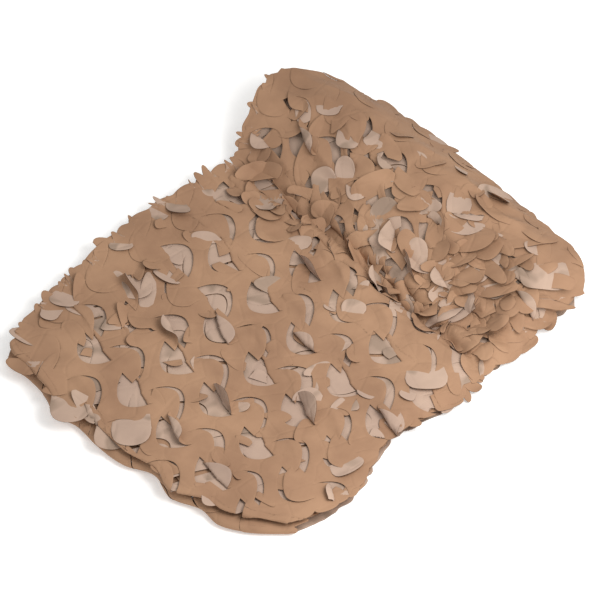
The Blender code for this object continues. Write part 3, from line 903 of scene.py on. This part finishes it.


# Polyester cloth, woven and coated matt. Two close colours in soft patches keep a large face from looking
# flat, and its sharp creases, its threads and the coating's fine crinkle catch the light. The reverse has
# greyer patches. The cut edge is drawn dark: partly the raw edge's own colour, partly painted shadow along
# the edges of slits and leaves.
def clothMaterial(name, finish):
    material = bpy.data.materials.new(name)
    material.use_nodes = True
    tree = material.node_tree
    tree.nodes.clear()
    place = addNode(tree, "ShaderNodeTexCoord").outputs["Object"]
    perMetre = lambda size: {"Vector": place, "Scale": 1000 / size}   # a pattern of this size, per metre
    shade = addNode(tree, "ShaderNodeTexNoise", None,
                    {**perMetre(netCloth["shadeSize"]), "Detail": 4.0, "Roughness": 0.6})
    low, high = netCloth["shadeSoft"]
    ramp = addNode(tree, "ShaderNodeMapRange", None,
                   {"Value": shade.outputs["Fac"], "From Min": low, "From Max": high})
    colors = linearColor(finish["dark"]), linearColor(finish["color"])
    color = addNode(tree, "ShaderNodeMix", {"data_type": "RGBA"},
                    {0: ramp.outputs["Result"], 6: colors[0], 7: colors[1]})
    if "patches" in finish:
        patch = addNode(tree, "ShaderNodeTexNoise", None,
                        {**perMetre(netCloth["patchSize"]), "Detail": 1.0, "Distortion": 0.8})
        low, high = netCloth["patchFrom"], netCloth["patchFrom"] + netCloth["patchSoft"]
        ramp = addNode(tree, "ShaderNodeMapRange", None,
                       {"Value": patch.outputs["Fac"], "From Min": low, "From Max": high})
        color = addNode(tree, "ShaderNodeMix", {"data_type": "RGBA"},
                        {0: ramp.outputs["Result"], 6: color.outputs[2], 7: linearColor(finish["patches"])})
    crease = addNode(tree, "ShaderNodeTexVoronoi", {"feature": "DISTANCE_TO_EDGE"},
                     perMetre(netCloth["crease"]["size"]))
    line = addNode(tree, "ShaderNodeMapRange", None,
                   {"Value": crease.outputs["Distance"], "From Max": netCloth["crease"]["width"]})
    thread = addNode(tree, "ShaderNodeTexNoise", None,
                     {**perMetre(netCloth["thread"]["size"]), "Detail": 1.0})
    crinkle = addNode(tree, "ShaderNodeTexNoise", None,
                      {**perMetre(netCloth["crinkle"]["size"]), "Detail": 3.0, "Roughness": 0.55})
    under = {}
    for relief, height in (("crease", line.outputs["Result"]), ("thread", thread.outputs["Fac"]),
                           ("crinkle", crinkle.outputs["Fac"])):
        bump = addNode(tree, "ShaderNodeBump", None,
                       {"Height": height, "Strength": netCloth[relief]["strength"],
                        "Distance": netCloth[relief]["depth"] / 1000, **under})
        under = {"Normal": bump.outputs["Normal"]}
    shader = addNode(tree, "ShaderNodeBsdfPrincipled", None,
                     {"Base Color": color.outputs[2], "Roughness": finish["roughness"],
                      "Specular IOR Level": netCloth["specular"], **under})
    addNode(tree, "ShaderNodeOutputMaterial", None, {"Surface": shader.outputs["BSDF"]})
    return material


clothMaterials = (
    clothMaterial("tan_coated_face", netCloth["face"]),
    clothMaterial("pale_cloth_reverse", netCloth["reverse"]),
    clothMaterial("cut_edge_and_painted_shadow", netCloth["edge"]),
)

# The one sheet is made as pieces between lines across it, one for each layer and each fold.
sheetCut = {
    "foldStrip": 0.013,      # half the length of a fold's piece
    "overlap": 0.004,        # of each piece over the one after it
    "thickness": 0.0008,     # of the cloth
    "layerSpacing": (0.0090, 0.0090, 0.0090, 0.0070, 0.0060),   # of the mesh points, from the lowest layer up
    "foldSpacing": 0.0020,
    "rollFrom": 0.04,        # p on the top layer where its crumpled piece begins
    "flatSpacing": 0.0042,
    "rollSpacing": 0.0039,
}


# each piece's name, the two lines that it lies between and its spacing, in the order of the sheet
def sheetPieces():
    strip, rows, start = sheetCut["foldStrip"], [], form["first"]
    for n, (middle, spacing) in enumerate(zip(form["foldMiddle"], sheetCut["layerSpacing"]), 1):
        rows.append((f"net_layer_{n}", start, middle - strip, spacing))
        rows.append((f"net_fold_{n}", middle - strip, middle + strip, sheetCut["foldSpacing"]))
        start = middle + strip
    rollFrom = np.full_like(start, sheetCut["rollFrom"])
    rows.append((f"net_layer_{folds['layers']}_flat", start, rollFrom, sheetCut["flatSpacing"]))
    rows.append((f"net_layer_{folds['layers']}_roll", rollFrom, form["last"], sheetCut["rollSpacing"]))
    return rows


# gives a piece its thickness and tells what it is
def layCloth(piece):
    thick = piece.modifiers.new("cloth thickness", "SOLIDIFY")
    thick.thickness = sheetCut["thickness"]
    thick.offset = 0.0
    thick.material_offset = 1
    # the rim takes the cut edge's dark colour, which is partly painted shadow along the edges
    thick.material_offset_rim = 2
    even = piece.modifiers.new("even shading", "WEIGHTED_NORMAL")
    even.weight = 50
    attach(piece, "root")
    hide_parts("net_cloth")


patterns = {}
for name, start, finish, spacing in sheetPieces():
    if spacing not in patterns:
        pattern = cellPattern(spacing)
        patterns[spacing] = (pattern, slitReach(pattern))
        print("pattern cell:", len(pattern["points"]), "points,", len(pattern["corner"]), "triangles")
    finish = finish + sheetCut["overlap"]
    points, triangles = layNet(*patterns[spacing], start, finish)
    piece = newPiece(name, points, triangles, clothMaterials)
    layCloth(piece)


# Leaves that lie loose over the sheet or stand out past its edges. A leaf is about half a round on its hinge.
looseLeaf = {
    "hinge": 0.046,
    "reach": 0.034,             # from its hinge to its tip
    "alongPoints": 14,
    "outPoints": 7,
    "roundEnds": 0.04,          # how much of the half round is left off at each end
    "sunk": 0.0012,             # how far its hinge lies under the surface
    "placedRound": 0.36,        # roundness of the ones placed one by one: 1 is a pointed lens, 0 a block
    "placedCrease": 0.5,        # where their crease is, as a share of their reach
    "slimness": (0.70, 1.30),   # of its hinge; its reach is changed the other way
    "sweep": 0.70,              # the most that it leans to one side
    "creaseAt": (0.3, 0.7),     # where its crease is, as a share of its reach
    "creaseTurn": 50,           # degrees that its crease may turn from the hinge
    "leastRise": 0.1,           # as a share of the most that its field rises
    "leastBend": -0.6,          # as a share of the most that its field bends
    "doubledBend": 168,         # degrees, of one that is folded right over at its crease
    "hug": 0.85,                # how closely it follows the surface
    "straight": (-0.43, 0.47),  # leaves past these X, at the front and the back, lie straight
    "spread": (0.7549, 0.5698),   # steps of the golden-ratio sequence that spreads a field evenly
    "spreadPlay": 0.03,
    "seed": 31,
}
# x, y: of the hinge's middle. turn: degrees from X towards Y, the way the tip points. size, long: of the
# hinge and of the reach besides, as shares. flare: how much wider the tip is. rise, bend: degrees, at the
# hinge and past it. pale: whether its reverse shows.
placedLoose = tableOf(
    "x y turn size long flare rise bend pale",
    (-0.424, 0.304, 221, 1.15, 1.40, 0.1, 3, -6, True),
    (-0.470, 0.183, 221, 1.60, 1.35, 0.1, 3, -8, True),
    (-0.430, 0.056, 221, 1.60, 1.50, 0.1, 3, -5, True),
    (-0.474, 0.068, 215, 1.35, 1.20, 0.1, -6, -6, True),
    (-0.480, -0.196, 221, 0.80, 1.20, 0.0, 2, -8, True),
    (-0.266, 0.366, 195, 1.15, 1.25, 0.2, 8, -8, True),
    (-0.316, 0.364, 205, 1.10, 1.25, -0.2, 8, 9, True),
    (0.381, -0.322, 219, 1.83, 1.15, 0.1, 11, -6, True),
    (0.367, -0.241, 187, 1.04, 1.86, -0.3, 8, -14, True),
    (0.265, -0.027, 59, 0.85, 2.60, 0.6, 3, 8, True),
    (0.335, -0.034, 293, 1.30, 1.33, -0.6, 6, 12, True),
    (0.405, -0.088, 217, 0.96, 1.95, 0.3, 6, -9, True),
    (0.267, 0.149, 50, 1.04, 1.34, 0.3, 6, 15, True),
    (0.294, 0.126, 30, 0.78, 1.92, 0.3, 8, 15, True),
    (0.387, 0.310, 217, 0.78, 1.97, 0.1, 4, -6, True),
    (0.384, 0.187, 210, 1.30, 1.05, -0.1, 7, 9, True),
    (0.117, -0.187, 40, 1.57, 1.40, -0.1, 5, -9, True),
    (0.208, -0.233, 53, 0.78, 2.34, 0.6, 4, 16, True),
    (0.203, 0.249, 223, 1.39, 1.44, 0.0, 9, 14, True),
    (0.220, -0.126, 31, 0.87, 2.14, 0.2, 8, 16, True),
    (0.210, -0.057, 53, 0.70, 2.60, 0.3, 9, 12, True),
    (0.257, -0.195, 51, 1.22, 0.96, 0.0, 9, -12, True),
    (0.410, 0.264, 211, 1.30, 0.68, -0.1, 6, 8, True),
    (0.476, -0.027, 217, 0.78, 1.80, -0.2, 5, 8, True),
    (0.470, -0.130, 215, 1.22, 1.60, -0.2, 5, 9, True),
    (0.311, -0.226, 195, 0.87, 2.00, 0.3, 8, -14, True),
    (0.291, -0.287, 191, 0.78, 1.57, 0.2, 9, 10, True),
    (0.050, -0.103, 24, 0.87, 1.29, 0.3, 8, 14, True),
    (0.044, -0.302, 225, 1.57, 1.22, 0.2, 4, 10, True),
    (0.070, -0.350, 231, 0.61, 2.20, 0.1, 7, -8, False),
    (-0.250, -0.335, 255, 1.30, 1.00, 0.2, 5, 16, True),
    (0.020, 0.374, 190, 0.90, 1.10, 0.1, 9, -14, True),
    (-0.098, 0.376, 215, 0.85, 1.00, 0.3, 9, 14, True),
    (-0.150, 0.290, 221, 1.25, 1.45, 0.1, 6, -10, True),
)
# Seeded ones: how many, between which x and y or how far inside which cut edge, how many are pale, the most
# that they rise and bend, and how many are folded right over. What a field doesn't say is as in anyField.
anyField = {"edge": None, "turn": (0, 360), "long": (1, 1), "doubled": 0.0, "roundness": (0.14, 0.56),
            "flare": (-0.35, 0.70)}
scatteredLoose = [
    {"count": 46, "x": (0.23, 0.46), "y": (-0.33, 0.35), "pale": 0.10, "rise": 10, "bend": 24,
     "size": (0.8, 1.45), "doubled": 0.06},
    {"count": 34, "x": (0.14, 0.26), "y": (-0.35, 0.28), "pale": 0.04, "rise": 26, "bend": 12,
     "size": (0.5, 0.9), "long": (1.6, 2.8), "turn": (60, 105)},
    {"count": 30, "x": (0.14, 0.27), "y": (-0.29, 0.34), "pale": 0.08, "rise": 28, "bend": 12,
     "size": (0.5, 0.9), "long": (1.6, 2.6), "turn": (235, 280)},
    {"count": 46, "x": (0.15, 0.36), "y": (-0.37, -0.12), "pale": 0.10, "rise": 36, "bend": 10,
     "size": (0.55, 0.95), "long": (1.7, 2.6), "turn": (245, 300)},
    {"count": 20, "x": (0.24, 0.44), "y": (-0.34, -0.08), "pale": 0.12, "rise": 9, "bend": 28,
     "size": (0.9, 1.5), "doubled": 0.1},
    {"count": 54, "x": (-0.42, 0.13), "y": (-0.33, 0.34), "pale": 0.25, "rise": 5, "bend": 24,
     "size": (0.5, 1.15), "doubled": 0.12},
    {"count": 44, "x": (-0.44, 0.40), "edge": "far", "inset": (0.027, 0.038), "pale": 0.05, "rise": 9,
     "bend": 20, "size": (0.75, 1.15), "turn": (70, 115), "flare": (-0.85, -0.3), "roundness": (0.75, 1.0)},
    {"count": 26, "x": (-0.36, 0.42), "edge": "near", "inset": (0.018, 0.034), "pale": 0.04, "rise": 4,
     "bend": 14, "size": (0.7, 1.1), "turn": (240, 300), "doubled": 0.1},
    {"count": 10, "x": (-0.475, -0.455), "y": (-0.26, 0.30), "pale": 0.10, "rise": 2, "bend": 8,
     "size": (0.7, 1.2), "turn": (155, 210)},
    {"count": 22, "y": (-0.36, 0.33), "edge": "back", "inset": (0.028, 0.040), "pale": 0.06, "rise": 10,
     "bend": -16, "size": (0.95, 1.3), "turn": (-25, 25)},
    {"count": 24, "x": (-0.43, 0.12), "y": (0.20, 0.37), "pale": 0.45, "rise": 9, "bend": 26,
     "size": (0.6, 1.25), "doubled": 0.15},
    {"count": 12, "x": (-0.44, 0.10), "y": (-0.36, -0.10), "pale": 0.40, "rise": 10, "bend": 26,
     "size": (0.5, 0.9), "doubled": 0.10},
]


# x and y of a field's leaves: a golden-ratio sequence over its area, or along an edge and a little inside it
def fieldPlaces(field, rng):
    count, play, ends = field["count"], looseLeaf["spreadPlay"], (0, 1)
    evenly = np.arange(1, count + 1)[:, None] * looseLeaf["spread"]
    spread = (evenly + rng.uniform(-play, play, (count, 2))) % 1
    if not field["edge"]:
        return [np.interp(spread[:, k], ends, field[name]) for k, name in enumerate("xy")]
    inset = rng.uniform(*field["inset"], count)
    if field["edge"] == "back":
        y = np.interp(spread[:, 0], ends, field["y"])
        return lineAt(form["place"][-1, :, 0], y) - inset, y
    x = np.interp(spread[:, 0], ends, field["x"])
    return x, curveOf(sideRows, field["edge"], x) + inset * (-1 if field["edge"] == "far" else 1)


# one row of numbers for each leaf, the placed ones first
def looseRows():
    rng = np.random.default_rng(looseLeaf["seed"])
    crease, rounding = looseLeaf["placedCrease"], looseLeaf["placedRound"]
    rows = [(row["x"], row["y"], row["turn"], row["size"], row["long"], row["rise"], crease, row["bend"],
             row["pale"], 1.0, rounding, row["flare"], 0.0) for row in placedLoose]
    for field in ({**anyField, **field} for field in scatteredLoose):
        count = field["count"]
        between = lambda least, most: rng.uniform(least, most, count)
        x, y = fieldPlaces(field, rng)
        bend = between(looseLeaf["leastBend"], 1) * field["bend"]
        bend = np.where(between(0, 1) < field["doubled"], looseLeaf["doubledBend"], bend)
        rows += list(zip(x, y, between(*field["turn"]), between(*field["size"]), between(*field["long"]),
                         between(looseLeaf["leastRise"], 1) * field["rise"], between(*looseLeaf["creaseAt"]),
                         bend, between(0, 1) < field["pale"], between(*looseLeaf["slimness"]),
                         between(*field["roundness"]), between(*field["flare"]),
                         between(-1, 1) * looseLeaf["sweep"]))
    return np.array(rows, float)


# where the top layer's crumpled surface is, at p and q
def surfaceAt(p, q):
    crumpled, carried = crumple(p, q)
    return onForm(p + carried, q, crumpled)


# Each leaf is a flat half round, bent up by rise at its hinge and by bend at its crease: a point d past a
# bend of angle a moves by d * (cos a - 1) square to the bend and d * sin a up. By hug, it follows the surface
# under it.
def looseLeaves():
    x, y, turn, size, long, rise, crease, bend, pale, slim, rounding, flare, sweep = looseRows().T
    nearest = np.round((form["across"][0] - y) / (form["across"][0] - form["across"][1])).astype(int)
    top = slice(-folds["alongStations"], None)
    lengths, places = form["length"][top], form["place"][top, :, 0]
    p = np.array([np.interp(at, places[:, c], lengths[:, c]) for at, c in zip(x, nearest)])
    step = 0.012   # over which the surface's own plane is measured
    middle = surfaceAt(p, y)
    along = surfaceAt(p + step, y) - surfaceAt(p - step, y)
    across = surfaceAt(p, y + step) - surfaceAt(p, y - step)
    along, upward = unit(along), unit(np.cross(along, across))
    across = np.cross(upward, along)
    turn = np.radians(turn)[:, None]
    tip = along * np.cos(turn) + across * np.sin(turn)
    hinge = np.cross(tip, upward)

    # the flat outline, from one end of the hinge to the other and out from it
    ends = looseLeaf["roundEnds"]
    angle = np.linspace(ends, 1 - ends, looseLeaf["alongPoints"]) * math.pi
    share = np.linspace(0, 1, looseLeaf["outPoints"])
    slim, rounding, flare, long = (values[:, None, None] for values in (slim, rounding, flare, long))
    beside = -np.cos(angle)[:, None] * (1 + flare * share) * looseLeaf["hinge"] / 2 * slim
    out = np.sin(angle)[:, None]**rounding * share * looseLeaf["reach"] * long / slim**0.5
    beside, out = (values.reshape(len(size), -1) * size[:, None] for values in (beside, out))
    beside = beside + sweep[:, None] * out

    # its two bends
    up, backTip, backHinge = np.full_like(out, -looseLeaf["sunk"]), np.zeros_like(out), np.zeros_like(out)
    rng = np.random.default_rng(looseLeaf["seed"] + 1)
    creaseTurn = np.radians(rng.uniform(-1, 1, len(size)) * looseLeaf["creaseTurn"])
    reach = looseLeaf["reach"] * size * long[:, 0, 0]
    for start, degrees, turned in ((0 * size, rise, 0 * size), (crease * reach, bend, creaseTurn)):
        turned, bendBy = turned[:, None], np.radians(degrees)[:, None]
        past = np.maximum(out * np.cos(turned) + beside * np.sin(turned) - start[:, None], 0)
        backTip += past * (np.cos(bendBy) - 1) * np.cos(turned)
        backHinge += past * (np.cos(bendBy) - 1) * np.sin(turned)
        up += past * np.sin(bendBy)
    beside, out = beside + backHinge, out + backTip

    # straight in the plane at its hinge, and laid over the surface
    straight = (middle[:, None] + hinge[:, None] * beside[..., None] + tip[:, None] * out[..., None]
                + upward[:, None] * up[..., None])
    onP = (p[:, None] + out * np.cos(turn) + beside * np.sin(turn)).ravel()
    onQ = (y[:, None] + out * np.sin(turn) - beside * np.cos(turn)).ravel()
    laid = surfaceAt(onP, onQ).reshape(straight.shape) + upward[:, None] * up[..., None]
    front, back = looseLeaf["straight"]
    hug = np.where((x > front) & (x < back), looseLeaf["hug"], 0)[:, None, None]
    points = straight * (1 - hug) + laid * hug
    a, o = np.meshgrid(np.arange(len(angle) - 1), np.arange(len(share) - 1), indexing="ij")
    first = (a * len(share) + o).ravel()
    quads = np.stack((first, first + 1, first + 1 + len(share), first + len(share)), 1)
    one = np.concatenate((quads[:, [0, 1, 2]], quads[:, [0, 2, 3]]))
    every = one[None] + (np.arange(len(size)) * out.shape[1])[:, None, None]
    every[pale < 0.5] = every[pale < 0.5][..., ::-1]   # the pale ones show their reverse
    lowest = np.array(stray["low"]) + (0, 0, 0.001)
    return np.clip(points, lowest, stray["high"]).reshape(-1, 3), every.reshape(-1, 3)


points, triangles = looseLeaves()
leaves = newPiece("net_loose_leaves", points, triangles, clothMaterials)
layCloth(leaves)

# Floor, light and camera.
studio = {
    "floorHalf": 6.0,
    "floorColor": "#f6f5f3",
    "floorRoughness": 0.9,
    "floorGlow": 0.30,             # of its own white light, to keep it pale right to the frame
    "worldStrength": 0.66,
    "keyPower": 35.5,
    "keySize": 1.1,
    "keyFrom": (-0.05, -1.20, 1.60),
    "lens": 600.0,
    "sensor": 36.0,
    "distance": 19.68,
    "elevation": 48.0,
    "toward": (0.756, 0.655),      # level direction of view
    "target": (0.05, 0.045, 0.0),
}
white = (1.0, 1.0, 1.0, 1.0)
half = studio["floorHalf"]
floorMesh = bpy.data.meshes.new("floor")
corners = [(-half, -half, 0), (half, -half, 0), (half, half, 0), (-half, half, 0)]
floorMesh.from_pydata(corners, [], [(0, 1, 2, 3)])
floor = bpy.data.objects.new("floor", floorMesh)
bpy.context.collection.objects.link(floor)

# painted board, pale and dull, so that shadows stay soft on it
floorMaterial = bpy.data.materials.new("pale_painted_floor")
floorMaterial.use_nodes = True
for socket, value in {"Base Color": linearColor(studio["floorColor"]), "Roughness": studio["floorRoughness"],
                      "Emission Color": white, "Emission Strength": studio["floorGlow"]}.items():
    floorMaterial.node_tree.nodes["Principled BSDF"].inputs[socket].default_value = value
floorMesh.materials.append(floorMaterial)

world = bpy.data.worlds.new("soft studio")
world.use_nodes = True
world.node_tree.nodes["Background"].inputs["Color"].default_value = white
world.node_tree.nodes["Background"].inputs["Strength"].default_value = studio["worldStrength"]
bpy.context.scene.world = world

keyLight = bpy.data.lights.new("key", "AREA")
keyLight.shape = "SQUARE"
keyLight.size = studio["keySize"]
keyLight.energy = studio["keyPower"]
key = bpy.data.objects.new("key", keyLight)
key.location = studio["keyFrom"]
key.rotation_euler = (Vector(studio["target"]) - key.location).to_track_quat("-Z", "Y").to_euler()
bpy.context.collection.objects.link(key)

camera = bpy.data.objects.new("camera", bpy.data.cameras.new("camera"))
camera.data.lens = studio["lens"]
camera.data.sensor_width = studio["sensor"]
steep = math.radians(studio["elevation"])
level = Vector((*studio["toward"], 0)).normalized()
view = level * math.cos(steep) - Vector((0, 0, math.sin(steep)))
camera.location = Vector(studio["target"]) - view * studio["distance"]
camera.rotation_euler = view.to_track_quat("-Z", "Y").to_euler()
bpy.context.collection.objects.link(camera)
bpy.context.scene.camera = camera
bpy.context.scene.view_settings.view_transform = "Standard"
